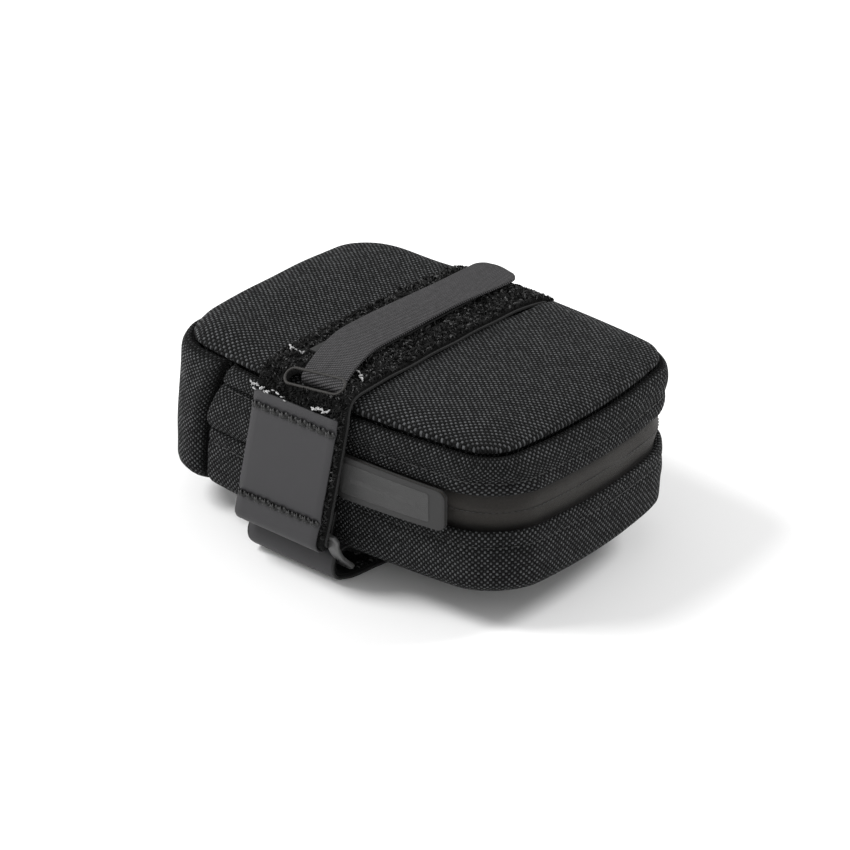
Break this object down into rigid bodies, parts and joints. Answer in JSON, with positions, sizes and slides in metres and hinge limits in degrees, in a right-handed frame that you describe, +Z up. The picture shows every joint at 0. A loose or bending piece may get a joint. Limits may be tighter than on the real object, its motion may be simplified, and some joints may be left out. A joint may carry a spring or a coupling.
{
  "type": "saddle bag",
  "caption": "Small padded bicycle saddle bag with a zipped drop-down mouth, a hook-and-loop strap threaded through a flat ring, and a peel-off grip ribbon on top.",
  "frame": {"origin": "on the underside of the strap that the bag stands on, below the middle of the bag", "axes": "+X along the bag to the zipped mouth, -Y to the side with the slider and the ring, +Z up"},
  "size_m": [0.1292, 0.1027, 0.0636],
  "materials": {
    "fabric": "coarse woven polyester, matte with a slight sheen",
    "foam": "closed-cell foam board",
    "zip_tape": "coated woven zip tape, satin",
    "zip_coil": "nylon coil",
    "pile": "curly loop pile",
    "coated_patch": "smooth coated cloth, satin",
    "ribbon": "fine grosgrain, slight sheen",
    "hook": "hook tape",
    "metal": "dark satin coating",
    "pull_rubber": "satin rubber, fine texture"
  },
  "bodies": {
    "root": {"top_panel": "fabric", "top_board": "foam", "upper_band": "fabric", "end_panel": "fabric", "end_board": "foam", "side_gusset_near": "fabric", "side_gusset_far": "fabric", "lower_band_rear_near": "fabric", "lower_band_rear_far": "fabric", "bottom_panel_rear": "fabric", "bottom_board_rear": "foam", "zip_tape_upper": "zip_tape", "zip_coil_upper": "zip_coil", "zip_tape_rear_near": "zip_tape", "zip_tape_rear_far": "zip_tape", "zip_stop_near": "metal", "zip_stop_far": "metal", "strap_band": "pile", "slot_binding": "ribbon", "tab_patch": "coated_patch", "ribbon_root": "ribbon"},
    "mouth": {"lower_band_front": "fabric", "bottom_panel_front": "fabric", "bottom_board_front": "foam", "zip_tape_lower": "zip_tape", "zip_coil_lower": "zip_coil"},
    "slider": {"slider_body": "metal"},
    "pull": {"pull_link": "metal", "pull_tab_back": "pull_rubber", "pull_tab_front": "pull_rubber"},
    "ribbon": {"ribbon_tongue": "ribbon", "ribbon_hook": "hook"},
    "ring": {"strap_ring": "metal"},
    "tail": {"tail_tip": "pile", "tail_hook": "hook"}
  },
  "joints": [
    {"name": "mouth_fold", "type": "hinge", "parent": "root", "child": "mouth", "pos_m": [0.012, 0, 0.0356], "axis": [0, 1, 0], "range_deg": [0, 24]},
    {"name": "slider_run", "type": "slide", "parent": "root", "child": "slider", "axis": [0.9973, 0.074, 0], "range_m": [0, 0.036]},
    {"name": "pull_swing", "type": "hinge", "parent": "slider", "child": "pull", "pos_m": [0.0064, -0.04577, 0.0356], "axis": [0, 0, -1], "range_deg": [0, 11]},
    {"name": "ribbon_peel", "type": "hinge", "parent": "root", "child": "ribbon", "pos_m": [-0.0054, -0.0416, 0.0615], "axis": [1, 0, 0], "range_deg": [0, 110]},
    {"name": "ring_swing", "type": "hinge", "parent": "root", "child": "ring", "pos_m": [-0.0078, -0.049, 0.0162], "axis": [1, 0, 0], "range_deg": [-5, 5]},
    {"name": "tail_peel", "type": "hinge", "parent": "root", "child": "tail", "pos_m": [0.0006, 0.0063, 0], "axis": [1, 0, 0], "range_deg": [-60, 0]}
  ]
}
